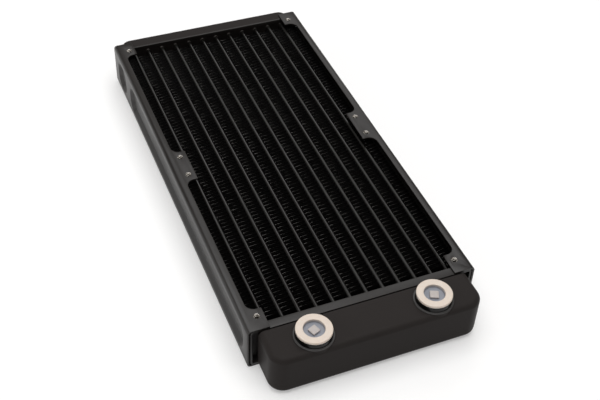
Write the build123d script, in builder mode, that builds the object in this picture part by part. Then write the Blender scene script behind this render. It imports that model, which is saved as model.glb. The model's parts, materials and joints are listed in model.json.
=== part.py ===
"""Slim two-fan liquid cooling radiator, millimetres.

X runs across the radiator, Y along it (the port tank is at -Y) and Z is up.
The origin is the middle of the fan screw pattern, on the bottom face of the side rails.
"""
import os
from math import atan, atan2, degrees, floor, hypot, tan

from build123d import *

os.makedirs("parts", exist_ok=True)

# ---- fans that bolt on -------------------------------------------------------
fan_hole_spacing = 105.0    # square screw pattern of one fan
fan_screw_gap = 15.0        # between the nearest screws of the two fans

# ---- side rails, folded from steel sheet -------------------------------------
rail_height = 26.0
rail_side_margin = 7.5      # screw line to the rail's outer face
rail_end_margin = 8.0       # last screw to the rail's end
rail_sheet = 1.0
rail_inner_bend = 1.0       # radius inside a fold
strip_width = 4.5           # narrow part of the flange, beside the core
tab_past_hole = 3.8         # tab edge beyond the screw line, towards the core
tab_margin = 4.4            # tab edge beyond the screw hole, along the rail
cutout_corner = 4.5
screw_core_d = 2.5          # M3 thread, drawn at its core diameter
screw_collar_wall = 1.05    # drawn collar that gives the thread its length
screw_collar_depth = 1.5
screw_lead_in = 0.35

# ---- pressed recesses in the rail's side wall --------------------------------
recess_depth = 2.0
recess_slope = 2.6          # width of the sloping wall around a recess
recess_lip = 4.0            # flat left above and below
recess_corner = 7.0
recess_roundest = 0.45      # largest corner, as a share of a recess's narrower side
recess_plain_end = 6.0      # flat at the end with the long recess
recess_short_end = 8.0      # flat at the end with the short recess
recess_short_length = 17.5
recess_gap = 9.0            # flat between the two recesses
recess_round = 0.8          # pressed edges

# ---- core --------------------------------------------------------------------
core_set_in = 4.0           # flange face down to the edges of the tubes
tube_count = 12
tube_thickness = 2.0
outer_bay = 6.425           # room for the fins between an outer tube and its side plate
tube_wall = 0.3
tube_past_header = 2.0
fin_fold_pitch = 2.54       # one fold out and back, 20 fins per inch
fin_sheet = 0.12
fin_crest = 0.5             # flat of a fold where it lies on the tube
fin_braze_film = 0.05
fin_header_gap = 4.0        # bare tube between the fins and a header, at least
side_plate_sheet = 0.6
side_plate_clearance = 0.3  # to the rail's pressed wall

# ---- headers -----------------------------------------------------------------
header_inset = 4.5          # header face inside the rail's end
header_sheet = 1.0
header_side_gap = 0.6       # to the rail's side wall
header_corner = 1.5
spigot_reach = 3.0          # how far the port header's inner rim enters the tank
tube_solder_gap = 0.05

# ---- tanks -------------------------------------------------------------------
tank_past_tube = 4.1        # inside the tank, beyond the outer tube
tank_sheet = 1.2
tank_corner = 8.0
tank_edge = 3.0             # rounded edges at top and bottom
tank_solder_gap = 0.05
return_tank_length = 5.9    # beyond the rails
seam_gap = 0.75             # between the port header's rim and the tank
divider_sheet = 1.0

# ---- threaded ports, G1/4 ----------------------------------------------------
port_spacing = 62.5
port_rail_gap = 0.8         # end of the rails to the foot of a port
port_front_gap = 0.2        # foot of a port to the tank's front
port_thread_core_d = 11.445
port_thread_length = 5.5
port_lead_in_step = 1.0     # lead-in wall outside the thread core
port_lead_in_depth = 1.5
port_boss_wall = 2.275
port_boss_height = 3.3
port_boss_round = 0.3
port_foot_step = 1.0
port_foot_height = 0.45
port_neck_wall = 2.1

# ---- port caps, soft plastic -------------------------------------------------
cap_inset = 0.15            # flange inside the edge of the boss
cap_flange_height = 1.4
cap_plug_length = 1.2
cap_plug_clearance = 0.075
cap_wall = 1.4
cap_floor = 0.6
cap_post = 4.4
cap_post_height = 1.1
cap_round = 0.3
cap_turns = {"inlet": 21.0, "outlet": -24.0}

# ---- places worked out from the sizes above ----------------------------------
hole_x = fan_hole_spacing / 2
fan_pitch = fan_hole_spacing + fan_screw_gap
fan_centres = [-fan_pitch / 2, fan_pitch / 2]
half_span = hole_x + rail_side_margin
half_length = fan_pitch / 2 + hole_x + rail_end_margin
rail_length = 2 * half_length
rail_bend = rail_inner_bend + rail_sheet
screw_collar_d = screw_core_d + 2 * screw_collar_wall
mid_height = rail_height / 2
hole_ys = [centre + side * hole_x for centre in fan_centres for side in (-1, 1)]
cutout_length = fan_hole_spacing - 2 * tab_margin
tab_reach = half_span - hole_x + tab_past_hole
header_face = half_length - header_inset
header_height = rail_height - 2 * rail_sheet
header_width = 2 * (half_span - rail_sheet - header_side_gap)
tube_depth = rail_height - 2 * core_set_in
tube_half_length = header_face + header_sheet + tube_past_header
side_plate_x = half_span - rail_sheet - recess_depth - side_plate_clearance - side_plate_sheet / 2
outer_tube_x = side_plate_x - side_plate_sheet / 2 - outer_bay - tube_thickness / 2
tube_pitch = 2 * outer_tube_x / (tube_count - 1)
tube_xs = [-outer_tube_x + i * tube_pitch for i in range(tube_count)]
tank_height = header_height
tank_top = mid_height + tank_height / 2
tank_inner_width = 2 * (outer_tube_x + tube_thickness / 2 + tank_past_tube)
tank_inner_height = tank_height - 2 * tank_sheet
tank_width = tank_inner_width + 2 * tank_sheet
return_tank_corner = min(tank_corner, return_tank_length - tank_solder_gap)  # clear of the header in it
port_lead_in_d = port_thread_core_d + 2 * port_lead_in_step
port_boss_d = port_lead_in_d + 2 * port_boss_wall
port_foot_d = port_boss_d + 2 * port_foot_step
port_neck_d = port_thread_core_d + 2 * port_neck_wall
cap_flange_d = port_boss_d - 2 * cap_inset
cap_plug_d = port_lead_in_d - 2 * cap_plug_clearance
cap_recess_d = cap_plug_d - 2 * cap_wall
port_tank_length = port_rail_gap + port_foot_d + port_front_gap
port_y = -(half_length + port_rail_gap + port_foot_d / 2)
port_top = tank_top + port_boss_height
port_xs = {"inlet": -port_spacing / 2, "outlet": port_spacing / 2}


def finish(builder, name):
    """Label a finished piece and write it."""
    builder.part.label = name
    export_step(builder.part, f"parts/{name}.step")


# ---- side rails --------------------------------------------------------------
long_recess_length = rail_length - recess_plain_end - recess_short_end - recess_short_length - recess_gap
long_recess_y = -half_length + recess_plain_end + long_recess_length / 2
short_recess_y = half_length - recess_short_end - recess_short_length / 2
recess_height = rail_height - 2 * recess_lip
recess_end_radius = min(recess_corner, recess_roundest * min(recess_height, recess_short_length))
recess_taper = degrees(atan(recess_slope / recess_depth))
recess_skin = rail_sheet * hypot(recess_slope, recess_depth) / recess_depth
recesses = [(long_recess_y, long_recess_length), (short_recess_y, recess_short_length)]

with BuildPart() as side_rail:
    # folded C section, open towards the core
    with BuildSketch(Plane.XZ.offset(half_length)) as section:
        with Locations((-half_span, 0)):
            Rectangle(tab_reach, rail_height, align=(Align.MIN, Align.MIN))
        fillet(section.vertices().group_by(Axis.X)[0], rail_bend)
        with BuildSketch(mode=Mode.SUBTRACT) as hollow:
            with Locations((-half_span + rail_sheet, rail_sheet)):
                Rectangle(tab_reach, header_height, align=(Align.MIN, Align.MIN))
            fillet(hollow.vertices().group_by(Axis.X)[0], rail_inner_bend)
    extrude(amount=-rail_length)

    # air cut-outs in both flanges, one for each fan
    with BuildSketch() as cutouts:
        for centre in fan_centres:
            with Locations((-half_span + strip_width, centre)):
                Rectangle(tab_reach, cutout_length, align=(Align.MIN, Align.CENTER))
        fillet(cutouts.vertices().group_by(Axis.X)[0], cutout_corner)
    extrude(amount=rail_height, mode=Mode.SUBTRACT)

    # pressed recesses: the sheet keeps its thickness
    for centre, length in recesses:
        with BuildSketch(Plane.YZ.offset(-half_span)):
            with Locations((centre, mid_height)):
                RectangleRounded(
                    length + 2 * recess_skin,
                    recess_height + 2 * recess_skin,
                    recess_end_radius + recess_skin,
                )
        extrude(amount=recess_depth + rail_sheet, taper=recess_taper)
    for centre, length in recesses:
        with BuildSketch(Plane.YZ.offset(-half_span)):
            with Locations((centre, mid_height)):
                RectangleRounded(length, recess_height, recess_end_radius)
        extrude(amount=recess_depth, taper=recess_taper, mode=Mode.SUBTRACT)
    outer_wall = side_rail.faces().filter_by(Axis.X).sort_by(Axis.X)[0]
    fillet(outer_wall.inner_wires().edges(), recess_round)

    # drawn collars and threaded screw holes in both flanges
    for level, away in ((rail_height - rail_sheet, -1), (rail_sheet, 1)):
        with BuildSketch(Plane.XY.offset(level)):
            with Locations([(-hole_x, y) for y in hole_ys]):
                Circle(screw_collar_d / 2)
        extrude(amount=away * screw_collar_depth)
    with BuildSketch():
        with Locations([(-hole_x, y) for y in hole_ys]):
            Circle(screw_core_d / 2)
    extrude(amount=rail_height, mode=Mode.SUBTRACT)
    flange_faces = side_rail.faces().filter_by(Axis.Z).group_by(Axis.Z)
    mouths = (flange_faces[0] + flange_faces[-1]).edges().filter_by(GeomType.CIRCLE)
    chamfer(mouths.filter_by(lambda edge: edge.radius < screw_collar_d / 2), screw_lead_in)

# both rails are the same pressing, the right one turned end for end
with BuildPart() as left_side_rail:
    add(side_rail.part)
finish(left_side_rail, "left_side_rail")

with BuildPart() as right_side_rail:
    add(side_rail.part, rotation=(0, 0, 180))
finish(right_side_rail, "right_side_rail")

# ---- flat tubes --------------------------------------------------------------
for number, x in enumerate(tube_xs, start=1):
    with BuildPart() as flat_tube:
        with BuildSketch(Plane.XZ.offset(tube_half_length)):
            with Locations((x, mid_height)):
                SlotOverall(tube_depth, tube_thickness, rotation=90)
                SlotOverall(
                    tube_depth - 2 * tube_wall,
                    tube_thickness - 2 * tube_wall,
                    rotation=90,
                    mode=Mode.SUBTRACT,
                )
        extrude(amount=-2 * tube_half_length)
    finish(flat_tube, f"flat_tube_{number:02d}")


# ---- folded fin strips -------------------------------------------------------
fin_folds = floor(2 * (header_face - fin_header_gap) / fin_fold_pitch)
fin_start = -fin_folds * fin_fold_pitch / 2


def fold_line(width, side):
    """One face of a folded strip: side is -1 or +1, towards -X or +X."""
    crest_x = (width - fin_sheet) / 2
    turn = atan2(2 * crest_x, fin_fold_pitch / 2 - fin_crest)
    corner = side * tan(turn / 2) * fin_sheet / 2
    shift = side * fin_sheet / 2
    half_crest = fin_crest / 2
    points = []
    for fold in range(fin_folds):
        low = fin_start + (fold + 0.25) * fin_fold_pitch
        high = low + fin_fold_pitch / 2
        points.append((-crest_x + shift, low - half_crest + corner))
        points.append((-crest_x + shift, low + half_crest - corner))
        points.append((crest_x + shift, high - half_crest - corner))
        points.append((crest_x + shift, high + half_crest + corner))
    return points


fin_walls = [-side_plate_x + side_plate_sheet / 2]
for x in tube_xs:
    fin_walls.append(x - tube_thickness / 2)
    fin_walls.append(x + tube_thickness / 2)
fin_walls.append(side_plate_x - side_plate_sheet / 2)
fin_bays = list(zip(fin_walls[0::2], fin_walls[1::2]))

for number, (low_x, high_x) in enumerate(fin_bays, start=1):
    strip_across = high_x - low_x - 2 * fin_braze_film
    bay_plane = Plane(origin=((low_x + high_x) / 2, 0, mid_height - tube_depth / 2))
    with BuildPart() as fin_strip:
        with BuildSketch(bay_plane):
            with BuildLine():
                Polyline(*fold_line(strip_across, -1), *reversed(fold_line(strip_across, 1)), close=True)
            make_face()
        extrude(amount=tube_depth)
    finish(fin_strip, f"fin_strip_{number:02d}")

# ---- side plates that hold the outer fins ------------------------------------
for name, side in (("left_side_plate", -1), ("right_side_plate", 1)):
    with BuildPart() as side_plate:
        with BuildSketch(Plane.XY.offset(mid_height - tube_depth / 2)):
            with Locations((side * side_plate_x, 0)):
                Rectangle(side_plate_sheet, 2 * header_face)
        extrude(amount=tube_depth)
    finish(side_plate, name)


# ---- headers -----------------------------------------------------------------
def pan(plane, width, height, corner):
    """A round-cornered rectangle at mid height, across the radiator."""
    with BuildSketch(plane) as outline:
        with Locations((0, mid_height)):
            RectangleRounded(width, height, corner)
    return outline.sketch


def tube_slots(plane):
    """The slots that the tubes pass through, with room for solder."""
    with BuildSketch(plane) as slots:
        with Locations([(x, mid_height) for x in tube_xs]):
            SlotOverall(tube_depth + 2 * tube_solder_gap, tube_thickness + 2 * tube_solder_gap, rotation=90)
    return slots.sketch


rim_depth = header_inset - header_sheet
pan_width = header_width - 2 * header_sheet
pan_height = header_height - 2 * header_sheet
spigot_width = tank_inner_width - 2 * tank_solder_gap
spigot_height = tank_inner_height - 2 * tank_solder_gap
spigot_bore_width = spigot_width - 2 * header_sheet
spigot_bore_height = spigot_height - 2 * header_sheet
spigot_corner = tank_edge - tank_sheet
port_web = Plane.XZ.offset(header_face)
port_floor = Plane.XZ.offset(header_face + header_sheet)
return_web = Plane.XZ.offset(-header_face)
return_floor = Plane.XZ.offset(-header_face - header_sheet)

with BuildPart() as port_header:
    extrude(pan(port_web, header_width, header_height, header_corner), amount=header_inset)
    extrude(pan(port_floor, pan_width, pan_height, header_corner / 2), amount=rim_depth, mode=Mode.SUBTRACT)
    # inner rim that enters the tank
    extrude(pan(port_floor, spigot_width, spigot_height, spigot_corner), amount=rim_depth + spigot_reach)
    extrude(
        pan(port_floor, spigot_bore_width, spigot_bore_height, spigot_corner / 2),
        amount=rim_depth + spigot_reach,
        mode=Mode.SUBTRACT,
    )
    extrude(tube_slots(port_web), amount=header_sheet, mode=Mode.SUBTRACT)
finish(port_header, "port_header")

with BuildPart() as return_header:
    extrude(pan(return_web, header_width, header_height, header_corner), amount=-header_sheet)
    # rim that enters the tank
    extrude(pan(return_floor, spigot_width, spigot_height, spigot_corner), amount=-rim_depth)
    extrude(
        pan(return_floor, spigot_bore_width, spigot_bore_height, spigot_corner / 2),
        amount=-rim_depth,
        mode=Mode.SUBTRACT,
    )
    extrude(tube_slots(return_web), amount=-header_sheet, mode=Mode.SUBTRACT)
finish(return_header, "return_header")


# ---- tanks -------------------------------------------------------------------
def tank_block(open_y, closed_y, corner):
    """Outer shape of a drawn tank, round at its closed end."""
    outward = Axis((0, 0, 0), (0, closed_y - open_y, 0))
    with BuildPart() as block:
        with BuildSketch(Plane.XY.offset(tank_top - tank_height)):
            with Locations((0, (open_y + closed_y) / 2)):
                Rectangle(tank_width, abs(closed_y - open_y))
        extrude(amount=tank_height)
        fillet(block.edges().filter_by(Axis.Z).group_by(outward)[-1], corner)
        rims = block.faces().filter_by(Axis.Z).edges()
        fillet(rims - rims.group_by(outward)[0], tank_edge)
    return block.part


port_tank_outer = tank_block(-(half_length + seam_gap), -(half_length + port_tank_length), tank_corner)

with BuildPart() as port_tank:
    add(port_tank_outer)
    offset(amount=-tank_sheet, openings=port_tank.faces().sort_by(Axis.Y)[-1])
    with BuildSketch(Plane.XY.offset(tank_top - tank_sheet)):
        with Locations([(x, port_y) for x in port_xs.values()]):
            Circle(port_neck_d / 2 + tank_solder_gap)
    extrude(amount=tank_sheet, mode=Mode.SUBTRACT)
finish(port_tank, "port_tank")

with BuildPart() as return_tank:
    add(tank_block(header_face + header_sheet, half_length + return_tank_length, return_tank_corner))
    offset(amount=-tank_sheet, openings=return_tank.faces().sort_by(Axis.Y)[0])
finish(return_tank, "return_tank")

# divider that keeps inlet and outlet water apart
with BuildPart() as tank_divider:
    divider_front = half_length + port_tank_length - tank_sheet
    spigot_end = half_length + spigot_reach
    with BuildSketch(Plane.YZ.offset(-divider_sheet / 2)) as divider_outline:
        with Locations((-divider_front, mid_height)):
            Rectangle(divider_front - spigot_end, tank_inner_height, align=(Align.MIN, Align.CENTER))
        fillet(divider_outline.vertices().group_by(Axis.X)[0], spigot_corner)
        with Locations((-spigot_end, mid_height)):
            Rectangle(
                spigot_end - header_face - header_sheet,
                spigot_bore_height,
                align=(Align.MIN, Align.CENTER),
            )
    extrude(amount=divider_sheet)
finish(tank_divider, "tank_divider")

# ---- ports and their caps ----------------------------------------------------
port_bottom = port_top - port_lead_in_depth - port_thread_length
port_lead_in_floor = port_top - port_lead_in_depth

for side, x in port_xs.items():
    with BuildPart() as port:
        # foot, seated on the tank's top and its rounded edge
        with BuildSketch(Plane.XY.offset(tank_top - tank_sheet)):
            with Locations((x, port_y)):
                Circle(port_foot_d / 2)
        extrude(amount=tank_sheet + port_foot_height)
        add(port_tank_outer, mode=Mode.SUBTRACT)
        # boss above the foot and neck below it
        with BuildSketch(Plane.XY.offset(tank_top)):
            with Locations((x, port_y)):
                Circle(port_boss_d / 2)
        extrude(amount=port_boss_height)
        fillet(port.faces().sort_by(Axis.Z)[-1].edges(), port_boss_round)
        with BuildSketch(Plane.XY.offset(port_bottom)):
            with Locations((x, port_y)):
                Circle(port_neck_d / 2)
        extrude(amount=tank_top - port_bottom)
        # threaded bore and its lead-in
        with BuildSketch(Plane.XY.offset(port_bottom)):
            with Locations((x, port_y)):
                Circle(port_thread_core_d / 2)
        extrude(amount=port_top - port_bottom, mode=Mode.SUBTRACT)
        with BuildSketch(Plane.XY.offset(port_lead_in_floor)):
            with Locations((x, port_y)):
                Circle(port_lead_in_d / 2)
        extrude(amount=port_lead_in_depth, mode=Mode.SUBTRACT)
    finish(port, f"{side}_port")

cap_recess_floor = port_top - cap_plug_length + cap_floor

for side, x in port_xs.items():
    with BuildPart() as port_cap:
        with BuildSketch(Plane.XY.offset(port_top)):
            with Locations((x, port_y)):
                Circle(cap_flange_d / 2)
        extrude(amount=cap_flange_height)
        fillet(port_cap.faces().sort_by(Axis.Z)[-1].edges(), cap_round)
        with BuildSketch(Plane.XY.offset(port_top - cap_plug_length)):
            with Locations((x, port_y)):
                Circle(cap_plug_d / 2)
        extrude(amount=cap_plug_length)
        with BuildSketch(Plane.XY.offset(cap_recess_floor)):
            with Locations((x, port_y)):
                Circle(cap_recess_d / 2)
        extrude(amount=cap_plug_length - cap_floor + cap_flange_height, mode=Mode.SUBTRACT)
        # square pull post in the recess
        with BuildSketch(Plane.XY.offset(cap_recess_floor)):
            with Locations(Location((x, port_y), cap_turns[side])):
                RectangleRounded(cap_post, cap_post, cap_round)
        extrude(amount=cap_post_height)
    finish(port_cap, f"{side}_port_cap")
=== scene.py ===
import json
from math import cos, pi, radians, sin

import bmesh
import bpy
from mathutils import Matrix, Vector


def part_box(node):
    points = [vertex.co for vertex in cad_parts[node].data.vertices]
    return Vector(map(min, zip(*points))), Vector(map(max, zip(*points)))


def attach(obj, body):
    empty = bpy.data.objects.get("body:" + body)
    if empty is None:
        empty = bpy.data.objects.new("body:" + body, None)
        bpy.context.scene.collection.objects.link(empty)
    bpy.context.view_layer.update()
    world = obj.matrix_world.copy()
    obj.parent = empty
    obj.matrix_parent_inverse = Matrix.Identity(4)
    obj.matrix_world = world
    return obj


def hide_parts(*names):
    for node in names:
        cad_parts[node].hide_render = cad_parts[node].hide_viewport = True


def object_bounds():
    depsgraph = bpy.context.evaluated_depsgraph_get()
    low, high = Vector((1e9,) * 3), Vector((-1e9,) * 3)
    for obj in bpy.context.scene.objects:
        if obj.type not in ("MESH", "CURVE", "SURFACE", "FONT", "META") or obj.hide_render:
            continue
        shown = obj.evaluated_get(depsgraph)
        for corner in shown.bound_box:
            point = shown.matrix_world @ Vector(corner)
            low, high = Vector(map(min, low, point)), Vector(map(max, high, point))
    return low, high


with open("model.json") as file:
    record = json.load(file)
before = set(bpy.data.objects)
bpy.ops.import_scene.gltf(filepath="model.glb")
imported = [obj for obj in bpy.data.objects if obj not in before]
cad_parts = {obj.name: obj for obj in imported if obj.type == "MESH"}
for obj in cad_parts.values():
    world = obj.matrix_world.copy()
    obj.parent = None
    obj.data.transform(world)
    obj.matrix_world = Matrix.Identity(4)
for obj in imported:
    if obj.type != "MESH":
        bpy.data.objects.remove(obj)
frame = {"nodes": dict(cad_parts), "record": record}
cadLow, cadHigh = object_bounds()
scene = bpy.context.scene
mm = 0.001


# small helpers

def hexColour(text):
    # sRGB hex to the linear values that nodes want
    channels = [int(text[i:i + 2], 16) / 255 for i in (1, 3, 5)]
    return [c / 12.92 if c <= 0.04045 else ((c + 0.055) / 1.055) ** 2.4 for c in channels] + [1.0]


def addNode(tree, kind, settings=None, values=None, links=None):
    # one node with its settings, socket values and incoming links
    node = tree.nodes.new(kind)
    for name, value in (settings or {}).items():
        setattr(node, name, value)
    for socket, value in (values or {}).items():
        node.inputs[socket].default_value = value
    for socket, source in (links or {}).items():
        tree.links.new(source, node.inputs[socket])
    return node


def newObject(name, mesh):
    piece = bpy.data.objects.new(name, mesh)
    scene.collection.objects.link(piece)
    return piece


def meshFrom(shape, name):
    # a bmesh becomes a linked object
    mesh = bpy.data.meshes.new(name)
    shape.to_mesh(mesh)
    shape.free()
    return newObject(name, mesh)


def flatten(piece):
    # live modifiers become plain mesh
    graph = bpy.context.evaluated_depsgraph_get()
    mesh = bpy.data.meshes.new_from_object(piece.evaluated_get(graph), depsgraph=graph)
    piece.modifiers.clear()
    old = piece.data
    piece.data = mesh
    mesh.name = piece.name
    bpy.data.meshes.remove(old)
    return piece


def setFinish(piece, *materials):
    piece.data.materials.clear()
    for material in materials:
        piece.data.materials.append(material)


def newMaterial(name):
    material = bpy.data.materials.new(name)
    material.use_nodes = True
    material.node_tree.nodes.clear()
    return material, material.node_tree


# camera

view = {
    "place": (-0.1630, -0.4027, 0.3970),
    "heading": -24.086,     # degrees about Z, 0 looks along +Y
    "down": 43.536,         # degrees below the horizon
    "roll": 2.897,
    "lens": 61.49,
    "sensor": 36,
    "nearest": 0.01,
}

camera = bpy.data.objects.new("camera", bpy.data.cameras.new("camera"))
scene.collection.objects.link(camera)
camera.data.lens = view["lens"]
camera.data.sensor_width = view["sensor"]
camera.data.clip_start = view["nearest"]
turn = Matrix.Rotation(radians(view["heading"]), 4, "Z")
turn = turn @ Matrix.Rotation(radians(90 - view["down"]), 4, "X")
turn = turn @ Matrix.Rotation(radians(view["roll"]), 4, "Z")
camera.matrix_world = Matrix.Translation(view["place"]) @ turn
scene.camera = camera


# floor and light

studio = {
    "floorSize": 6.0,
    "floorGap": 0.1 * mm,
    "floorColour": "#d6d6d6",
    "floorGlow": 0.45,          # keeps the floor pale right up to the object
    "worldColour": "#fffaf4",
    "worldStrength": 0.24,
    "topLight": {"place": (0.0, -0.1, 1.6), "size": 1.7, "power": 26.0},
    "backLight": {"place": (0.75, 1.80, 1.75), "size": 1.3, "power": 9.5},
    "leftLight": {"place": (-1.4, 0.2, 0.5), "size": 0.8, "power": 4.0},
}


def softLight(name, place, size, power):
    lamp = bpy.data.lights.new(name, "AREA")
    lamp.shape = "SQUARE"
    lamp.size = size
    lamp.energy = power
    holder = bpy.data.objects.new(name, lamp)
    scene.collection.objects.link(holder)
    holder.location = place
    holder.rotation_euler = (-Vector(place)).to_track_quat("-Z", "Y").to_euler()


world = bpy.data.worlds.new("studioWorld")
scene.world = world
world.use_nodes = True
background = world.node_tree.nodes["Background"]
background.inputs["Color"].default_value = hexColour(studio["worldColour"])
background.inputs["Strength"].default_value = studio["worldStrength"]
softLight("topLight", **studio["topLight"])
softLight("backLight", **studio["backLight"])
softLight("leftLight", **studio["leftLight"])
scene.view_settings.view_transform = "Standard"

half = studio["floorSize"] / 2
level = cadLow.z - studio["floorGap"]
floorMesh = bpy.data.meshes.new("floor")
floorCorners = [(-half, -half, level), (half, -half, level), (half, half, level), (-half, half, level)]
floorMesh.from_pydata(floorCorners, [], [(0, 1, 2, 3)])
floorPlane = newObject("floor", floorMesh)
floorMaterial, tree = newMaterial("paleFloor")
shader = addNode(tree, "ShaderNodeBsdfPrincipled",
                 values={"Base Color": hexColour(studio["floorColour"]), "Roughness": 0.9,
                         "Emission Color": hexColour(studio["floorColour"]),
                         "Emission Strength": studio["floorGlow"]})
addNode(tree, "ShaderNodeOutputMaterial", links={"Surface": shader.outputs["BSDF"]})
setFinish(floorPlane, floorMaterial)
print("stage: camera, light and floor")


# finishes

cloudSize = 35 * mm     # patches of a coat that differ a little in colour and gloss
grimeSize = 1.2 * mm    # duller patches on bare metal


def coatedMetal(name, colour, tint, roughness, spread, peel, speck, specular):
    # black coat on metal: a soft gloss, the waves that it dried in and fine grains in it
    material, tree = newMaterial(name)
    place = addNode(tree, "ShaderNodeTexCoord").outputs["Object"]
    waves = addNode(tree, "ShaderNodeTexNoise",
                    values={"Scale": 1 / peel["size"], "Detail": 2.0, "Roughness": 0.5},
                    links={"Vector": place})
    grains = addNode(tree, "ShaderNodeTexNoise", values={"Scale": 1 / speck["size"], "Detail": 1.0},
                     links={"Vector": place})
    cloud = addNode(tree, "ShaderNodeTexNoise",
                    values={"Scale": 1 / cloudSize, "Detail": 3.0, "Roughness": 0.55},
                    links={"Vector": place})
    shade = addNode(tree, "ShaderNodeMix", settings={"data_type": "RGBA"},
                    values={6: hexColour(colour), 7: hexColour(tint)}, links={0: cloud.outputs["Fac"]})
    sheen = addNode(tree, "ShaderNodeMapRange",
                    values={"From Min": 0.3, "From Max": 0.7, "To Min": roughness - spread,
                            "To Max": roughness + spread},
                    links={"Value": cloud.outputs["Fac"]})
    grainBump = addNode(tree, "ShaderNodeBump", values={"Strength": 1.0, "Distance": speck["height"]},
                        links={"Height": grains.outputs["Fac"]})
    waveBump = addNode(tree, "ShaderNodeBump", values={"Strength": 1.0, "Distance": peel["height"]},
                       links={"Height": waves.outputs["Fac"], "Normal": grainBump.outputs["Normal"]})
    shader = addNode(tree, "ShaderNodeBsdfPrincipled", values={"IOR": 1.5, "Specular IOR Level": specular},
                     links={"Base Color": shade.outputs[2], "Roughness": sheen.outputs["Result"],
                            "Normal": waveBump.outputs["Normal"]})
    addNode(tree, "ShaderNodeOutputMaterial", links={"Surface": shader.outputs["BSDF"]})
    return material


# satin powder coat, baked on folded steel: orange peel about 0.9 mm across, and the powder's grains
# at 0.3 mm, which is coarser than real ones so that they show
powderCoat = coatedMetal("satinPowderCoat", "#141110", "#1a1614", roughness=0.40, spread=0.05,
                         peel={"size": 0.9 * mm, "height": 0.006 * mm},
                         speck={"size": 0.3 * mm, "height": 0.004 * mm},
                         specular=0.42)
# the same coat where it draws thin over an edge
thinCoat = coatedMetal("thinCoatOnEdges", "#222120", "#2b2928", roughness=0.34, spread=0.05,
                       peel={"size": 0.9 * mm, "height": 0.004 * mm},
                       speck={"size": 0.3 * mm, "height": 0.003 * mm},
                       specular=0.5)
# sprayed enamel on drawn brass: broader waves and lower grains than on the rails, with hardly any gloss
tankEnamel = coatedMetal("sprayedEnamelOnBrass", "#282524", "#2d2a29", roughness=0.42, spread=0.05,
                         peel={"size": 1.4 * mm, "height": 0.006 * mm},
                         speck={"size": 0.3 * mm, "height": 0.003 * mm},
                         specular=0.035)
# the same enamel on the turned bosses, glossier than on the tank; its deeper black is painted shade on the
# bosses' sides
bossGlossAndShade = coatedMetal("glossBlackWithPaintedShadeOnBoss", "#060606", "#0a0909", roughness=0.20, spread=0.04,
                        peel={"size": 1.4 * mm, "height": 0.003 * mm},
                        speck={"size": 0.3 * mm, "height": 0.002 * mm},
                        specular=0.22)
# thin sprayed paint on the tubes, which lets their rolled edges show
tubePaint = coatedMetal("thinPaintOnBrassTube", "#0b0a09", "#11100e", roughness=0.26, spread=0.07,
                        peel={"size": 3.0 * mm, "height": 0.03 * mm},
                        speck={"size": 0.4 * mm, "height": 0.004 * mm},
                        specular=0.5)
# black paint sprayed into the fins, with so little gloss that the folds stay dark
finPaint = coatedMetal("mattPaintOnCopperFoil", "#020202", "#050404", roughness=0.24, spread=0.06,
                       peel={"size": 2.0 * mm, "height": 0.02 * mm},
                       speck={"size": 0.4 * mm, "height": 0.01 * mm},
                       specular=0.035)


def moulded():
    # natural polyethylene, moulded: waxy and milky; greyer in the recess and on its post, which is painted
    # shade for the recess and for the dark bore showing through the thin floor
    milkSize = 4 * mm
    grainSize = 0.5 * mm
    material, tree = newMaterial("naturalPolyethylene")
    place = addNode(tree, "ShaderNodeTexCoord").outputs["Object"]
    recessShade = addNode(tree, "ShaderNodeAttribute", settings={"attribute_name": "paintedRecessShade"})
    cloud = addNode(tree, "ShaderNodeTexNoise", values={"Scale": 1 / milkSize, "Detail": 2.0},
                    links={"Vector": place})
    plainColour = addNode(tree, "ShaderNodeMix", settings={"data_type": "RGBA"},
                    values={6: hexColour("#d8ccc0"), 7: hexColour("#cec1b5")},
                    links={0: cloud.outputs["Fac"]})
    # grey mixed in where the attribute says: painted shade
    colour = addNode(tree, "ShaderNodeMix", settings={"data_type": "RGBA"},
                     values={7: hexColour("#83868f")},
                     links={0: recessShade.outputs["Fac"], 6: plainColour.outputs[2]})
    mould = addNode(tree, "ShaderNodeTexNoise", values={"Scale": 1 / grainSize, "Detail": 2.0},
                    links={"Vector": place})
    bump = addNode(tree, "ShaderNodeBump", values={"Strength": 1.0, "Distance": 0.01 * mm},
                   links={"Height": mould.outputs["Fac"]})
    shader = addNode(tree, "ShaderNodeBsdfPrincipled",
                     values={"IOR": 1.51, "Roughness": 0.42, "Subsurface Weight": 0.35,
                             "Subsurface Scale": 0.8 * mm, "Subsurface Radius": (1.0, 0.9, 0.8)},
                     links={"Base Color": colour.outputs[2], "Normal": bump.outputs["Normal"]})
    addNode(tree, "ShaderNodeOutputMaterial", links={"Surface": shader.outputs["BSDF"]})
    return material


def bareMetal(name, colour, tint, roughness, scratchSize, scratchDepth):
    # cut or melted metal, duller in patches
    material, tree = newMaterial(name)
    place = addNode(tree, "ShaderNodeTexCoord").outputs["Object"]
    grime = addNode(tree, "ShaderNodeTexNoise", values={"Scale": 1 / grimeSize, "Detail": 4.0},
                    links={"Vector": place})
    shade = addNode(tree, "ShaderNodeMix", settings={"data_type": "RGBA"},
                    values={6: hexColour(colour), 7: hexColour(tint)}, links={0: grime.outputs["Fac"]})
    tool = addNode(tree, "ShaderNodeTexNoise", values={"Scale": 1 / scratchSize, "Detail": 2.0},
                   links={"Vector": place})
    bump = addNode(tree, "ShaderNodeBump", values={"Strength": 1.0, "Distance": scratchDepth},
                   links={"Height": tool.outputs["Fac"]})
    shader = addNode(tree, "ShaderNodeBsdfPrincipled", values={"Metallic": 1.0, "Roughness": roughness},
                     links={"Base Color": shade.outputs[2], "Normal": bump.outputs["Normal"]})
    addNode(tree, "ShaderNodeOutputMaterial", links={"Surface": shader.outputs["BSDF"]})
    return material


# mild steel, tapped through its coat: bright, with duller patches
tappedSteel = bareMetal("tappedSteel", "#dedad4", "#9a958e", 0.26, 0.3 * mm, 0.01 * mm)
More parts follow.
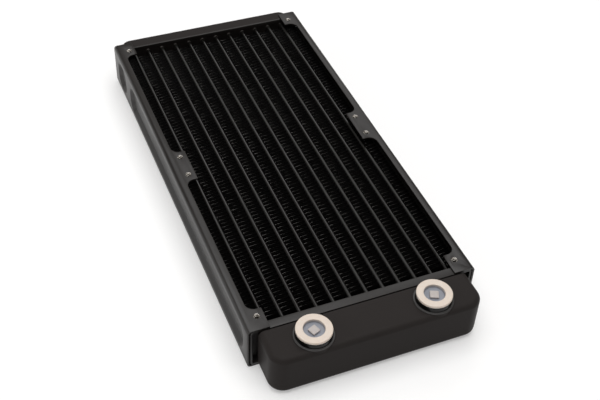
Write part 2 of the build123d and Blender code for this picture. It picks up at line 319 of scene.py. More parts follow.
# turned brass inside a port: yellow, and finely marked by the tool
turnedBrass = bareMetal("turnedBrass", "#c9a765", "#8d7040", 0.28, 0.25 * mm, 0.008 * mm)
# solder, melted round a tube and half covered by paint: dull grey lumps
dullSolder = bareMetal("dullSolder", "#5c5956", "#2a2827", 0.5, 0.8 * mm, 0.08 * mm)
polyethylene = moulded()
print("stage: finishes")

nodes = frame["nodes"]
mounts = {mount["name"]: mount for mount in frame["record"]["mounts"]}
slack = 0.05 * mm       # leeway when points or faces are picked by their place


# side rails: folded steel, coated after it was drilled

rails = {
    "edge": 0.18 * mm,          # how round the coat makes a cut edge
    "edgeSteps": 2,
    "sharpAngle": 32,
    "weld": 0.002 * mm,         # points nearer than this are one
    "flatAngle": 0.6,           # faces that differ by less, in degrees, are one
    "nodes": {"left_side_rail": "left_rail", "right_side_rail": "right_rail"},
}


def softenedCopy(node, name, edge, steps, angle, prepare=None):
    # a CAD shape with its cut edges rounded: loose triangles are merged into whole faces first
    shape = bmesh.new()
    shape.from_mesh(nodes[node].data)
    bmesh.ops.remove_doubles(shape, verts=shape.verts, dist=rails["weld"])
    if prepare:
        prepare(shape)
    bmesh.ops.dissolve_limit(shape, angle_limit=radians(rails["flatAngle"]), verts=shape.verts,
                             edges=shape.edges)
    for face in shape.faces:
        face.smooth = True
    piece = meshFrom(shape, name)
    piece.data.materials.append(powderCoat)
    piece.data.materials.append(thinCoat)
    edgeRound = piece.modifiers.new("roundedEdges", "BEVEL")
    edgeRound.width = edge
    edgeRound.segments = steps
    edgeRound.limit_method = "ANGLE"
    edgeRound.angle_limit = radians(angle)
    edgeRound.material = 1
    edgeRound.use_clamp_overlap = True
    edgeRound.harden_normals = True
    flatten(piece)
    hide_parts(node)
    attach(piece, "radiator")
    return piece


def screwPlaces():
    # every flange screw: its middle at the outer face of its flange, and which way it opens
    places = []
    for name, mount in mounts.items():
        if name.startswith("fan_screws"):
            x, y, z = mount["pos_m"]
            across = mount["dims"]["spacing_x_mm"] * mm / 2
            along = mount["dims"]["spacing_y_mm"] * mm / 2
            for i, j in ((-1, -1), (-1, 1), (1, -1), (1, 1)):
                places.append((x + i * across, y + j * along, z, mount["axis"][2]))
    return places


thread = {
    "core": mounts["fan_screws_top_port_end"]["dims"]["hole_r_mm"] * mm,
    "depth": 0.25 * mm,
    "pitch": 0.5 * mm,
    "leadIn": 0.35 * mm,
    "length": 2.5 * mm,         # through the flange and its collar
    "baseShare": 0.44,          # half width of the ridge at its root, as a share of the pitch
    "tipShare": 0.06,           # and at its tip
    "sunk": 0.15,               # share of the depth that the ridge stands inside the wall
    "pastLeadIn": 0.03 * mm,    # a point this far past the lead-in still counts as inside the hole
    "steps": 20,
}


def openToRoots(shape):
    # widens each screw bore from its core to the roots of its thread
    holes = screwPlaces()
    for vertex in shape.verts:
        for x, y, z, up in holes:
            away = Vector((vertex.co.x - x, vertex.co.y - y))
            if away.length < thread["core"] + slack:
                wide = away.normalized() * (thread["core"] + thread["depth"])
                vertex.co.x = x + wide.x
                vertex.co.y = y + wide.y


def bareScrewHoles(rail):
    # the tap cut through the coat: lead-in and bore are bright steel
    rail.data.materials.append(tappedSteel)
    reach = thread["core"] + thread["leadIn"] + thread["pastLeadIn"]
    axes = {(x, y) for x, y, z, up in screwPlaces()}
    cut = set()
    for vertex in rail.data.vertices:
        if any(Vector((vertex.co.x - x, vertex.co.y - y)).length < reach for x, y in axes):
            cut.add(vertex.index)
    for face in rail.data.polygons:
        if cut.issuperset(face.vertices):
            face.material_index = 2


for node, name in rails["nodes"].items():
    rail = softenedCopy(node, name, rails["edge"], rails["edgeSteps"], rails["sharpAngle"], openToRoots)
    bareScrewHoles(rail)
print("stage: rails")


# headers and other CAD shapes that keep their form

plainNodes = {
    "edge": 0.25 * mm,
    "edgeSteps": 2,
    "sharpAngle": 32,
}

for node, name in (("port_header", "port_header_bar"), ("return_header", "return_header_plate")):
    header = softenedCopy(node, name, plainNodes["edge"], plainNodes["edgeSteps"], plainNodes["sharpAngle"])

for node, piece in nodes.items():
    if node.startswith("flat_tube") or node.endswith("side_plate"):
        setFinish(piece, tubePaint)
    elif node == "tank_divider":
        setFinish(piece, turnedBrass)
print("stage: headers and tubes")


# geometry nodes: shared helpers

def newTree(name, inputs):
    # an empty tree with named inputs, given as name: kind of socket
    tree = bpy.data.node_groups.new(name, "GeometryNodeTree")
    for label, kind in inputs.items():
        tree.interface.new_socket(label, in_out="INPUT", socket_type="NodeSocket" + kind)
    tree.interface.new_socket("Geometry", in_out="OUTPUT", socket_type="NodeSocketGeometry")
    return tree, addNode(tree, "NodeGroupInput").outputs


def endTree(tree, geometry, material):
    # every tree ends the same way: real geometry with its finish on it
    whole = addNode(tree, "GeometryNodeRealizeInstances", links={"Geometry": geometry})
    smooth = addNode(tree, "GeometryNodeSetShadeSmooth", links={"Geometry": whole.outputs["Geometry"]})
    painted = addNode(tree, "GeometryNodeSetMaterial",
                      links={"Geometry": smooth.outputs["Geometry"], "Material": material})
    addNode(tree, "NodeGroupOutput", links={"Geometry": painted.outputs["Geometry"]})


def growPiece(name, tree, values, points=()):
    # runs a tree on a few points and keeps the result as plain mesh
    seed = bpy.data.meshes.new(name)
    seed.from_pydata([tuple(p) for p in points], [], [])
    piece = newObject(name, seed)
    grow = piece.modifiers.new(tree.name, "NODES")
    grow.node_group = tree
    sockets = {item.name: item.identifier for item in tree.interface.items_tree if item.in_out == "INPUT"}
    for label, value in values.items():
        grow[sockets[label]] = value
    return flatten(piece)


tubeCount = len([node for node in nodes if node.startswith("flat_tube")])
tubeLow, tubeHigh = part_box("flat_tube_01")
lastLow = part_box("flat_tube_12")[0]
tubeStep = (lastLow.x - tubeLow.x) / (tubeCount - 1)


# folded fins: one strip of foil in each bay, its crests soldered to the tubes

fins = {
    "pitch": 2.54 * mm,         # one fold out and back
    "sheet": 0.12 * mm,
    "crestFlat": 0.80 * mm,
    "bend": 0.38 * mm,
    "bendSteps": 3,
    "wander": 0.13 * mm,        # how far a crest strays along its tube
    "lowered": 0.35 * mm,       # fins stand this much lower than the tubes' edges
    "glintFrom": 0.16,         # share of a tube pitch, from the middle of the -X tube: full painted glint up to here
    "glintTo": 0.62,           # and plain black paint from here on
    "glintShare": 0.45,        # share of the fold pitch that gets the painted glint, from the middle of every other crest
    "patch": 2.5 * mm,
    "patchDepth": 0.01 * mm,
    "edgeFacing": 0.9,          # a face this upright is a cut edge
    "seed": 7,
}


def foldedFinTree():
    tree, given = newTree("foldedFin", {"Middle": "Vector", "Width": "Float", "Height": "Float",
                                        "Pitch": "Float", "Folds": "Int", "Sheet": "Float",
                                        "Crest Flat": "Float", "Bend": "Float", "Bend Steps": "Int",
                                        "Wander": "Float", "Seed": "Int", "Material": "Material"})
    index = addNode(tree, "GeometryNodeInputIndex").outputs["Index"]
    half = addNode(tree, "ShaderNodeMath", {"operation": "MULTIPLY"}, {1: 0.5}, {0: index}).outputs[0]
    crest = addNode(tree, "ShaderNodeMath", {"operation": "FLOOR"}, links={0: half}).outputs[0]
    # side, -1 or +1: the tube that the crest lies on; end, -0.5 or +0.5: the end of it that this point is
    turned = addNode(tree, "ShaderNodeMath", {"operation": "FLOORED_MODULO"}, {1: 2.0},
                     {0: crest}).outputs[0]
    side = addNode(tree, "ShaderNodeMath", {"operation": "MULTIPLY_ADD"}, {1: 2.0, 2: -1.0},
                   {0: turned}).outputs[0]
    odd = addNode(tree, "ShaderNodeMath", {"operation": "FLOORED_MODULO"}, {1: 2.0}, {0: index}).outputs[0]
    end = addNode(tree, "ShaderNodeMath", {"operation": "SUBTRACT"}, {1: 0.5}, {0: odd}).outputs[0]
    # across: half the bay, less half a sheet
    room = addNode(tree, "ShaderNodeMath", {"operation": "SUBTRACT"},
                   links={0: given["Width"], 1: given["Sheet"]}).outputs[0]
    reach = addNode(tree, "ShaderNodeMath", {"operation": "MULTIPLY"}, {1: 0.5}, {0: room}).outputs[0]
    across = addNode(tree, "ShaderNodeMath", {"operation": "MULTIPLY"},
                     links={0: side, 1: reach}).outputs[0]
    # along: crests half a pitch apart, evenly about the strip's middle
    first = addNode(tree, "ShaderNodeMath", {"operation": "MULTIPLY"}, {1: -1.0},
                    {0: given["Folds"]}).outputs[0]
    place = addNode(tree, "ShaderNodeMath", {"operation": "ADD"}, links={0: crest, 1: first}).outputs[0]
    centred = addNode(tree, "ShaderNodeMath", {"operation": "ADD"}, {1: 0.5}, {0: place}).outputs[0]
    halfPitch = addNode(tree, "ShaderNodeMath", {"operation": "MULTIPLY"}, {1: 0.5},
                        {0: given["Pitch"]}).outputs[0]
    run = addNode(tree, "ShaderNodeMath", {"operation": "MULTIPLY"},
                  links={0: centred, 1: halfPitch}).outputs[0]
    flat = addNode(tree, "ShaderNodeMath", {"operation": "MULTIPLY"},
                   links={0: end, 1: given["Crest Flat"]}).outputs[0]
    along = addNode(tree, "ShaderNodeMath", {"operation": "ADD"}, links={0: run, 1: flat}).outputs[0]
    chance = addNode(tree, "FunctionNodeRandomValue", {"data_type": "FLOAT"}, {2: -1.0, 3: 1.0},
                     {"ID": crest, "Seed": given["Seed"]}).outputs[1]
    stray = addNode(tree, "ShaderNodeMath", {"operation": "MULTIPLY"},
                    links={0: chance, 1: given["Wander"]}).outputs[0]
    strayed = addNode(tree, "ShaderNodeMath", {"operation": "ADD"}, links={0: along, 1: stray}).outputs[0]
    corner = addNode(tree, "ShaderNodeCombineXYZ", links={"X": across, "Y": strayed}).outputs[0]
    spot = addNode(tree, "ShaderNodeVectorMath", {"operation": "ADD"},
                   links={0: corner, 1: given["Middle"]}).outputs[0]
    count = addNode(tree, "ShaderNodeMath", {"operation": "MULTIPLY"}, {1: 4.0},
                    {0: given["Folds"]}).outputs[0]
    line = addNode(tree, "GeometryNodeMeshLine", links={"Count": count}).outputs["Mesh"]
    folded = addNode(tree, "GeometryNodeSetPosition",
                     links={"Geometry": line, "Position": spot}).outputs["Geometry"]
    path = addNode(tree, "GeometryNodeMeshToCurve", links={"Mesh": folded}).outputs["Curve"]
    bent = addNode(tree, "GeometryNodeFilletCurve", {"mode": "POLY"}, {"Limit Radius": True},
                   {"Curve": path, "Count": given["Bend Steps"], "Radius": given["Bend"]}).outputs["Curve"]
    upright = addNode(tree, "GeometryNodeSetCurveNormal", {"mode": "Z_UP"},
                      links={"Curve": bent}).outputs["Curve"]
    section = addNode(tree, "GeometryNodeCurvePrimitiveQuadrilateral",
                      links={"Width": given["Sheet"], "Height": given["Height"]}).outputs["Curve"]
    strip = addNode(tree, "GeometryNodeCurveToMesh", values={"Fill Caps": True},
                    links={"Curve": upright, "Profile Curve": section}).outputs["Mesh"]
    endTree(tree, strip, given["Material"])
    return tree


def foilEdgeGlintMaterial():
    # the foil's cut edge: black, with patches of bright metal beside the -X tube of each bay as painted
    # glints, on that side only
    material, tree = newMaterial("cutFoilEdgePaintedGlints")
    coords = addNode(tree, "ShaderNodeTexCoord").outputs["Object"]
    parts = addNode(tree, "ShaderNodeSeparateXYZ", links={"Vector": coords}).outputs
    first = (tubeLow.x + tubeHigh.x) / 2
    away = addNode(tree, "ShaderNodeMath", {"operation": "SUBTRACT"}, {1: first},
                   {0: parts["X"]}).outputs[0]
    steps = addNode(tree, "ShaderNodeMath", {"operation": "DIVIDE"}, {1: tubeStep}, {0: away}).outputs[0]
    share = addNode(tree, "ShaderNodeMath", {"operation": "FRACT"}, links={0: steps}).outputs[0]
    glintSide = addNode(tree, "ShaderNodeMapRange",
                   values={"From Min": fins["glintFrom"], "From Max": fins["glintTo"],
                           "To Min": 1.0, "To Max": 0.0},
                   links={"Value": share}).outputs["Result"]
    patch = addNode(tree, "ShaderNodeTexNoise", values={"Scale": 1 / fins["patch"], "Detail": 2.0},
                    links={"Vector": coords}).outputs["Fac"]
    glintPatchiness = addNode(tree, "ShaderNodeMapRange", values={"From Min": 0.35, "From Max": 0.6},
                   links={"Value": patch})
    # painted glint on one leg of each fold only, which gives one glint per fold
    crest = (finLow.y + finHigh.y) / 2 + (0.5 - folds) * fins["pitch"] / 2
    run = addNode(tree, "ShaderNodeMath", {"operation": "SUBTRACT"}, {1: crest}, {0: parts["Y"]}).outputs[0]
    turns = addNode(tree, "ShaderNodeMath", {"operation": "DIVIDE"}, {1: fins["pitch"]},
                    {0: run}).outputs[0]
    phase = addNode(tree, "ShaderNodeMath", {"operation": "FRACT"}, links={0: turns}).outputs[0]
    glintLeg = addNode(tree, "ShaderNodeMath", {"operation": "LESS_THAN"}, {1: fins["glintShare"]},
                  {0: phase}).outputs[0]
    glintPatches = addNode(tree, "ShaderNodeMath", {"operation": "MULTIPLY"},
                      links={0: glintSide, 1: glintPatchiness.outputs["Result"]})
    amount = addNode(tree, "ShaderNodeMath", {"operation": "MULTIPLY"},
                     links={0: glintPatches.outputs[0], 1: glintLeg})
    shade = addNode(tree, "ShaderNodeMix", {"data_type": "RGBA"},
                    {6: hexColour("#040404"), 7: hexColour("#807e7c")}, {0: amount.outputs[0]})
    bump = addNode(tree, "ShaderNodeBump", values={"Strength": 1.0, "Distance": fins["patchDepth"]},
                   links={"Height": patch})
    shader = addNode(tree, "ShaderNodeBsdfPrincipled", values={"Metallic": 1.0, "Roughness": 0.32},
                     links={"Base Color": shade.outputs[2], "Normal": bump.outputs["Normal"]})
    addNode(tree, "ShaderNodeOutputMaterial", links={"Surface": shader.outputs["BSDF"]})
    return material


finLow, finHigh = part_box("fin_strip_01")
folds = round((finHigh.y - finLow.y) / fins["pitch"])
foilEdgeGlints = foilEdgeGlintMaterial()
foldedFin = foldedFinTree()
for number in range(1, tubeCount + 2):     # one strip more than there are tubes
    node = f"fin_strip_{number:02d}"
    finLow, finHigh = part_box(node)
    middle = (finLow + finHigh) / 2
    strip = growPiece(f"folded_fin_{number:02d}", foldedFin, {
        "Middle": middle,
        "Width": finHigh.x - finLow.x,
        "Height": finHigh.z - finLow.z - 2 * fins["lowered"],
        "Pitch": fins["pitch"],
        "Folds": folds,
        "Sheet": fins["sheet"],
        "Crest Flat": fins["crestFlat"],
        "Bend": fins["bend"],
        "Bend Steps": fins["bendSteps"],
        "Wander": fins["wander"],
        "Seed": fins["seed"] + number,
        "Material": finPaint,
    })
    # the cut edges carry the painted glints
    strip.data.materials.append(foilEdgeGlints)
    for face in strip.data.polygons:
        if abs(face.normal.z) > fins["edgeFacing"]:
            face.material_index = 1
    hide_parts(node)
    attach(strip, "radiator")
print("stage: fins")


# solder round every tube, on the core side of each header

solder = {
    "bead": 0.42 * mm,
    "rough": 0.22 * mm,
    "lumpSize": 1.5 * mm,
    "pathStep": 0.5 * mm,
    "endRound": 0.499,          # share of a tube's thickness: just under half leaves a sliver of flat
    "roundSteps": 6,
    "sections": 8,
}


def solderTree():
    tree, given = newTree("tubeSolder", {"First": "Vector", "Step": "Vector", "Count": "Int",
                                         "Thickness": "Float", "Depth": "Float", "Bead": "Float",
                                         "Round Steps": "Int", "Sections": "Int", "Rough": "Float",
                                         "Material": "Material"})
    outline = addNode(tree, "GeometryNodeCurvePrimitiveQuadrilateral",
                      links={"Width": given["Thickness"], "Height": given["Depth"]}).outputs["Curve"]
    corner = addNode(tree, "ShaderNodeMath", {"operation": "MULTIPLY"}, {1: solder["endRound"]},
                     {0: given["Thickness"]}).outputs[0]
    slot = addNode(tree, "GeometryNodeFilletCurve", {"mode": "POLY"}, {"Limit Radius": True},
                   {"Curve": outline, "Count": given["Round Steps"], "Radius": corner}).outputs["Curve"]
    fine = addNode(tree, "GeometryNodeResampleCurve", {"mode": "LENGTH"}, {"Length": solder["pathStep"]},
                   {"Curve": slot}).outputs["Curve"]
    section = addNode(tree, "GeometryNodeCurvePrimitiveCircle",
                      links={"Resolution": given["Sections"], "Radius": given["Bead"]}).outputs["Curve"]
    ring = addNode(tree, "GeometryNodeCurveToMesh",
                   links={"Curve": fine, "Profile Curve": section}).outputs["Mesh"]
    stood = addNode(tree, "GeometryNodeTransform", values={"Rotation": (pi / 2, 0, 0)},
                    links={"Geometry": ring}).outputs["Geometry"]
    row = addNode(tree, "GeometryNodeMeshLine",
                  links={"Count": given["Count"], "Start Location": given["First"], "Offset": given["Step"]})
    rings = addNode(tree, "GeometryNodeInstanceOnPoints",
                    links={"Points": row.outputs["Mesh"], "Instance": stood}).outputs["Instances"]
    real = addNode(tree, "GeometryNodeRealizeInstances", links={"Geometry": rings}).outputs["Geometry"]
    spot = addNode(tree, "GeometryNodeInputPosition").outputs["Position"]
    lump = addNode(tree, "ShaderNodeTexNoise", values={"Scale": 1 / solder["lumpSize"], "Detail": 1.0},
                   links={"Vector": spot}).outputs["Fac"]
    swell = addNode(tree, "ShaderNodeMath", {"operation": "SUBTRACT"}, {1: 0.5}, {0: lump}).outputs[0]
    amount = addNode(tree, "ShaderNodeMath", {"operation": "MULTIPLY"},
                     links={0: swell, 1: given["Rough"]}).outputs[0]
    normal = addNode(tree, "GeometryNodeInputNormal").outputs["Normal"]
    out = addNode(tree, "ShaderNodeVectorMath", {"operation": "SCALE"},
                  links={0: normal, 3: amount}).outputs[0]
    lumpy = addNode(tree, "GeometryNodeSetPosition",
                    links={"Geometry": real, "Offset": out}).outputs["Geometry"]
    endTree(tree, lumpy, given["Material"])
    return tree


tubeSolder = solderTree()
for name, y in (("port_header_solder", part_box("port_header")[1].y),
                ("return_header_solder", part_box("return_header")[0].y)):
    beads = growPiece(name, tubeSolder, {
        "First": ((tubeLow.x + tubeHigh.x) / 2, y, (tubeLow.z + tubeHigh.z) / 2),
        "Step": (tubeStep, 0, 0),
        "Count": tubeCount,
        "Thickness": tubeHigh.x - tubeLow.x,
        "Depth": tubeHigh.z - tubeLow.z,
        "Bead": solder["bead"],
        "Round Steps": solder["roundSteps"],
        "Sections": solder["sections"],
        "Rough": solder["rough"],
        "Material": dullSolder,
    })
    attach(beads, "radiator")
print("stage: solder")


# threads: a ridge that winds up the bore and stands inwards from its roots to its core

def threadTree():
    tree, given = newTree("threadRidge", {"Geometry": "Geometry", "Core": "Float", "Depth": "Float",
                                          "Pitch": "Float", "Height": "Float", "Steps": "Int",
                                          "Material": "Material"})
    turns = addNode(tree, "ShaderNodeMath", {"operation": "DIVIDE"},
                    links={0: given["Height"], 1: given["Pitch"]}).outputs[0]
    root = addNode(tree, "ShaderNodeMath", {"operation": "ADD"},
                   links={0: given["Core"], 1: given["Depth"]}).outputs[0]
    helix = addNode(tree, "GeometryNodeCurveSpiral",
                    links={"Resolution": given["Steps"], "Rotations": turns, "Start Radius": root,
                           "End Radius": root, "Height": given["Height"]}).outputs["Curve"]
    level = addNode(tree, "GeometryNodeSetCurveNormal", {"mode": "Z_UP"},
                    links={"Curve": helix}).outputs["Curve"]
    base = addNode(tree, "ShaderNodeMath", {"operation": "MULTIPLY"}, {1: thread["baseShare"]},
                   {0: given["Pitch"]}).outputs[0]
    tip = addNode(tree, "ShaderNodeMath", {"operation": "MULTIPLY"}, {1: thread["tipShare"]},
                  {0: given["Pitch"]}).outputs[0]
    corners = []
    sunk = -thread["sunk"]
    for inward, width, sign in ((sunk, base, -1.0), (1.0, tip, -1.0), (1.0, tip, 1.0), (sunk, base, 1.0)):
        x = addNode(tree, "ShaderNodeMath", {"operation": "MULTIPLY"}, {1: inward},
                    {0: given["Depth"]}).outputs[0]
        y = addNode(tree, "ShaderNodeMath", {"operation": "MULTIPLY"}, {1: sign}, {0: width}).outputs[0]
        corners.append(addNode(tree, "ShaderNodeCombineXYZ", links={"X": x, "Y": y}).outputs[0])
    section = addNode(tree, "GeometryNodeCurvePrimitiveQuadrilateral", {"mode": "POINTS"},
                      links={f"Point {i + 1}": c for i, c in enumerate(corners)}).outputs["Curve"]
    ridge = addNode(tree, "GeometryNodeCurveToMesh", values={"Fill Caps": True},
                    links={"Curve": level, "Profile Curve": section}).outputs["Mesh"]
    wound = addNode(tree, "GeometryNodeInstanceOnPoints",
                    links={"Points": given["Geometry"], "Instance": ridge}).outputs["Instances"]
    endTree(tree, wound, given["Material"])
    return tree


threadRidge = threadTree()
starts = []
for x, y, z, up in screwPlaces():
    bottom = z - thread["length"] if up > 0 else z + thread["leadIn"]
    starts.append((x, y, bottom))
screwThreads = growPiece("screw_threads", threadRidge, {
    "Core": thread["core"],
    "Depth": thread["depth"],
    "Pitch": thread["pitch"],
    "Height": thread["length"] - thread["leadIn"],
    "Steps": thread["steps"],
    "Material": tappedSteel,
}, starts)
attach(screwThreads, "radiator")


# turned and moulded pieces

def arc(r, z, radius, start, end, steps=5):
    # points of a round stretch of a profile, angles in degrees
    angles = [radians(start + (end - start) * i / steps) for i in range(steps + 1)]
    return [(r + radius * cos(a), z + radius * sin(a)) for a in angles]


def lathe(shape, profile, centre, steps):
    # turns a closed profile of (radius, height) about Z; a point on the axis becomes a pole
    rings = []
    for r, z in profile:
        if r == 0:
            rings.append([shape.verts.new((centre[0], centre[1], z))])
            continue
        angles = [2 * pi * i / steps for i in range(steps)]
        rings.append([shape.verts.new((centre[0] + r * cos(a), centre[1] + r * sin(a), z)) for a in angles])
    onAxis = len(rings[0]) == 1
    pairs = list(zip(rings, rings[1:])) + ([] if onAxis else [(rings[-1], rings[0])])
    for a, b in pairs:
        for i in range(steps):
            j = (i + 1) % steps
            corners = [a[i % len(a)], a[j % len(a)], b[j % len(b)], b[i % len(b)]]
            shape.faces.new(list(dict.fromkeys(corners)))
    bmesh.ops.recalc_face_normals(shape, faces=shape.faces)


def smoothByAngle(piece, angle):
    piece.data.shade_smooth()
    piece.data.set_sharp_from_angle(angle=radians(angle))


port = {
    "threadDepth": 0.856 * mm,  # G1/4 root below its core
    "threadPitch": 1.337 * mm,
    "footStep": 1.0 * mm,       # foot ring beyond the boss
    "topRound": 0.3 * mm,
    "mouth": 0.3 * mm,          # chamfer round the lead-in
    "leadIn": 1.5 * mm,
    "leadInStep": 1.0 * mm,     # how much wider the lead-in is than the core
    "shoulder": 0.3 * mm,       # height of the slope from the bore out to the lead-in
    "neckWall": 2.1 * mm,
    "footHeight": 0.45 * mm,
    "footRound": 0.3 * mm,
    "footSkirt": 1.75 * mm,     # the foot goes this far down, over the tank's rounded edge
    "sharpAngle": 35,
    "steps": 96,
    "threadSteps": 48,
}

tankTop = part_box("port_tank")[1].z


def turnedPort(side):
    low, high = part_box(f"{side}_port")
    centre = (low + high) / 2
    core = mounts[f"{side}_thread"]["dims"]["r_mm"] * mm
    bore = core + port["threadDepth"]
    mouth = core + port["leadInStep"]
    foot = (high.x - low.x) / 2
    boss = foot - port["footStep"]
    top, bottom = high.z, low.z
    profile = [(bore, bottom), (bore, top - port["leadIn"] - port["shoulder"])]
    profile += [(mouth, top - port["leadIn"]), (mouth, top - port["mouth"]), (mouth + port["mouth"], top)]
    profile += arc(boss - port["topRound"], top - port["topRound"], port["topRound"], 90, 0)
    profile += arc(boss + port["footRound"], tankTop + port["footHeight"] + port["footRound"],
                   port["footRound"], 180, 270)
    profile += arc(foot - port["footRound"], tankTop + port["footHeight"] - port["footRound"],
                   port["footRound"], 90, 0)
    profile += [(foot, tankTop - port["footSkirt"]), (core + port["neckWall"], tankTop - port["footSkirt"]),
                (core + port["neckWall"], bottom)]
    shape = bmesh.new()
    lathe(shape, profile, centre, port["steps"])
    piece = meshFrom(shape, f"{side}_port_boss")
    setFinish(piece, tankEnamel, turnedBrass, bossGlossAndShade, thinCoat)
    # the bore is cut after the coat: bare brass
    for face in piece.data.polygons:
        middle = Vector((face.center.x - centre.x, face.center.y - centre.y))
        if middle.length < mouth + slack and face.center.z < top - port["mouth"]:
            face.material_index = 1
        # the boss in the deeper black: painted shade
        elif middle.length < boss + slack and face.center.z > tankTop + port["footHeight"]:
            face.material_index = 2
        elif middle.length > boss and face.center.z > tankTop + slack:
            face.material_index = 3
    smoothByAngle(piece, port["sharpAngle"])
    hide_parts(f"{side}_port")
    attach(piece, "radiator")
    ridge = growPiece(f"{side}_port_thread", threadRidge, {
        "Core": core,
        "Depth": port["threadDepth"],
        "Pitch": port["threadPitch"],
        "Height": top - port["leadIn"] - bottom - port["threadPitch"],
        "Steps": port["threadSteps"],
        "Material": turnedBrass,
    }, [(centre.x, centre.y, bottom + port["threadPitch"] / 2)])
    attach(ridge, "radiator")


for side in ("inlet", "outlet"):
    turnedPort(side)
print("stage: ports and threads")


# port caps: soft plastic plugs

cap = {
    "flange": 1.4 * mm,
    "round": 0.35 * mm,
    "innerRound": 0.25 * mm,
    "wall": 1.4 * mm,
    "floor": 0.6 * mm,
    "draft": 0.12 * mm,
    "post": 4.4 * mm,
    "postHeight": 1.1 * mm,
    "postRound": 0.35 * mm,
    "postSteps": 3,
    "postShadeShare": 0.5,        # how much painted shade the post gets, when the recess gets 1 and the flange 0
    "rimDepth": 0.3 * mm,       # painted shade in the recess starts this far down from the rim
    "plugClearance": 0.075 * mm,
    "plugRound": 0.3 * mm,
    "seatRound": 0.2 * mm,
    "seatSteps": 3,
    "sharpAngle": 40,
    "turns": {"inlet": 21, "outlet": -24},
    "steps": 96,
}


def portCap(side):
    low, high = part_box(f"{side}_port_cap")
    centre = (low + high) / 2
    radius = (high.x - low.x) / 2
    seat = high.z - cap["flange"]
    plug = mounts[f"{side}_thread"]["dims"]["r_mm"] * mm + port["leadInStep"] - cap["plugClearance"]
    recess = plug - cap["wall"]
    floorLevel = low.z + cap["floor"]
    profile = [(0, low.z), (plug - cap["plugRound"], low.z), (plug, low.z + cap["plugRound"]), (plug, seat)]
    profile += arc(radius - cap["seatRound"], seat + cap["seatRound"], cap["seatRound"], -90, 0,
                   cap["seatSteps"])
    profile += arc(radius - cap["round"], high.z - cap["round"], cap["round"], 0, 90)
    profile += arc(recess + cap["innerRound"], high.z - cap["innerRound"], cap["innerRound"], 90, 180)
    profile += arc(recess - cap["draft"] - cap["seatRound"], floorLevel + cap["seatRound"],
                   cap["seatRound"], 0, -90, cap["seatSteps"])
    profile += [(0, floorLevel)]
    shape = bmesh.new()
    lathe(shape, profile, centre, cap["steps"])
    # square post to pull on
    made = bmesh.ops.create_cube(shape, size=1)
    size = cap["post"]
    tall = cap["postHeight"] + cap["floor"] / 2
    bmesh.ops.scale(shape, vec=(size, size, tall), verts=made["verts"])
    bmesh.ops.rotate(shape, cent=(0, 0, 0), matrix=Matrix.Rotation(radians(cap["turns"][side]), 3, "Z"),
                     verts=made["verts"])
    bmesh.ops.translate(shape, vec=(centre.x, centre.y, floorLevel + cap["postHeight"] - tall / 2),
                        verts=made["verts"])
    edges = list({edge for vertex in made["verts"] for edge in vertex.link_edges})
    bmesh.ops.bevel(shape, geom=edges, offset=cap["postRound"], segments=cap["postSteps"],
                     affect="EDGES", profile=0.5)
    piece = meshFrom(shape, f"{side}_cap_moulding")
    # painted shade: full in the recess, part on the post, none on the flange
    recessShade = piece.data.attributes.new("paintedRecessShade", "FLOAT", "POINT")
    for vertex, value in zip(piece.data.vertices, recessShade.data):
        away = Vector((vertex.co.x - centre.x, vertex.co.y - centre.y)).length
        inside = away < recess + slack and vertex.co.z < high.z - cap["rimDepth"]
        onPost = vertex.co.z > floorLevel + cap["postHeight"] / 2 and away < size * 3 / 4
        value.value = cap["postShadeShare"] if onPost else 1.0 if inside else 0.0
    setFinish(piece, polyethylene)
    smoothByAngle(piece, cap["sharpAngle"])
    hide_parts(f"{side}_port_cap")
    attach(piece, f"{side}_cap")


for side in ("inlet", "outlet"):
    portCap(side)
print("stage: caps")


# tanks: drawn from brass sheet, round at the closed end

tank = {
    "edge": 3.0 * mm,           # round edges at top and bottom
    "wall": 1.2 * mm,
    "cornerSteps": 12,
    "edgeSteps": 8,
    "sharpAngle": 30,
    "normalWeight": 90,
    "holeSteps": 64,
    "holeGap": 0.05 * mm,       # room round a port's neck
    "cutterHeight": 6 * mm,     # taller than the sheet that it goes through
    "corners": {"port_tank": 8.0 * mm, "return_tank": 5.85 * mm},
}


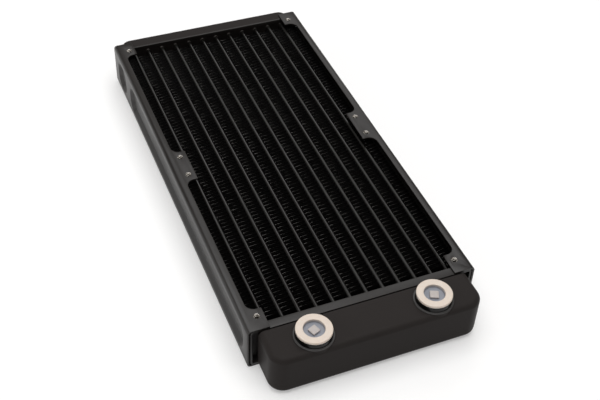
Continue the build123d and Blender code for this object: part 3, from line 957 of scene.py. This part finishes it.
def drawnTank(node, name, holes=()):
    low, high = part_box(node)
    outward = -1 if low.y < 0 else 1
    openY, closedY = (high.y, low.y) if outward < 0 else (low.y, high.y)
    corner = tank["corners"][node]
    shape = bmesh.new()

    def ring(inset, z):
        # plan outline at one height, from the open end round the closed end and back
        radius = corner - inset
        halfWidth = (high.x - low.x) / 2 - inset
        middle = (high.x + low.x) / 2
        end = closedY - outward * inset
        points = [(middle - halfWidth, openY)]
        for sign, start in ((-1, 180), (1, 90)):
            for i in range(tank["cornerSteps"] + 1):
                angle = radians(start - 90 * i / tank["cornerSteps"])
                points.append((middle + sign * (halfWidth - radius) + radius * cos(angle),
                               end - outward * radius + outward * radius * sin(angle)))
        points.append((middle + halfWidth, openY))
        return [shape.verts.new((x, y, z)) for x, y in points]

    rings = []
    for i in range(tank["edgeSteps"] + 1):
        angle = radians(90 - 90 * i / tank["edgeSteps"])
        rings.append(ring(tank["edge"] * (1 - cos(angle)), high.z - tank["edge"] * (1 - sin(angle))))
    for i in range(tank["edgeSteps"] + 1):
        angle = radians(90 * i / tank["edgeSteps"])
        rings.append(ring(tank["edge"] * (1 - cos(angle)), low.z + tank["edge"] * (1 - sin(angle))))
    for above, below in zip(rings, rings[1:]):
        for i in range(len(above) - 1):
            shape.faces.new((above[i], above[i + 1], below[i + 1], below[i]))
    shape.faces.new(rings[0])
    shape.faces.new(list(reversed(rings[-1])))
    bmesh.ops.recalc_face_normals(shape, faces=shape.faces)
    # an open shell can come out inside out: its top has to face up
    shape.faces.ensure_lookup_table()
    if shape.faces[-2].normal.z < 0:
        bmesh.ops.reverse_faces(shape, faces=shape.faces)
    piece = meshFrom(shape, name)
    wall = piece.modifiers.new("wall", "SOLIDIFY")
    wall.thickness = tank["wall"]
    wall.offset = -1
    wall.use_even_offset = True
    cutters = []
    for x, y, radius in holes:
        cut = bmesh.new()
        bmesh.ops.create_cone(cut, cap_ends=True, segments=tank["holeSteps"],
                              radius1=radius, radius2=radius, depth=tank["cutterHeight"],
                              matrix=Matrix.Translation((x, y, high.z)))
        cutter = meshFrom(cut, "cutter")
        hole = piece.modifiers.new("hole", "BOOLEAN")
        hole.object = cutter
        hole.solver = "EXACT"
        cutters.append(cutter)
    bpy.context.view_layer.update()
    flatten(piece)
    for cutter in cutters:
        bpy.data.objects.remove(cutter)
    setFinish(piece, tankEnamel)
    smoothByAngle(piece, tank["sharpAngle"])
    weigh = piece.modifiers.new("evenNormals", "WEIGHTED_NORMAL")
    weigh.keep_sharp = True
    weigh.weight = tank["normalWeight"]
    flatten(piece)
    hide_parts(node)
    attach(piece, "radiator")


necks = []
for side in ("inlet", "outlet"):
    portLow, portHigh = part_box(f"{side}_port")
    centre = (portLow + portHigh) / 2
    neck = mounts[f"{side}_thread"]["dims"]["r_mm"] * mm + port["neckWall"]
    necks.append((centre.x, centre.y, neck + tank["holeGap"]))
drawnTank("port_tank", "port_tank_shell", necks)
drawnTank("return_tank", "return_tank_shell")
print("stage: tanks")
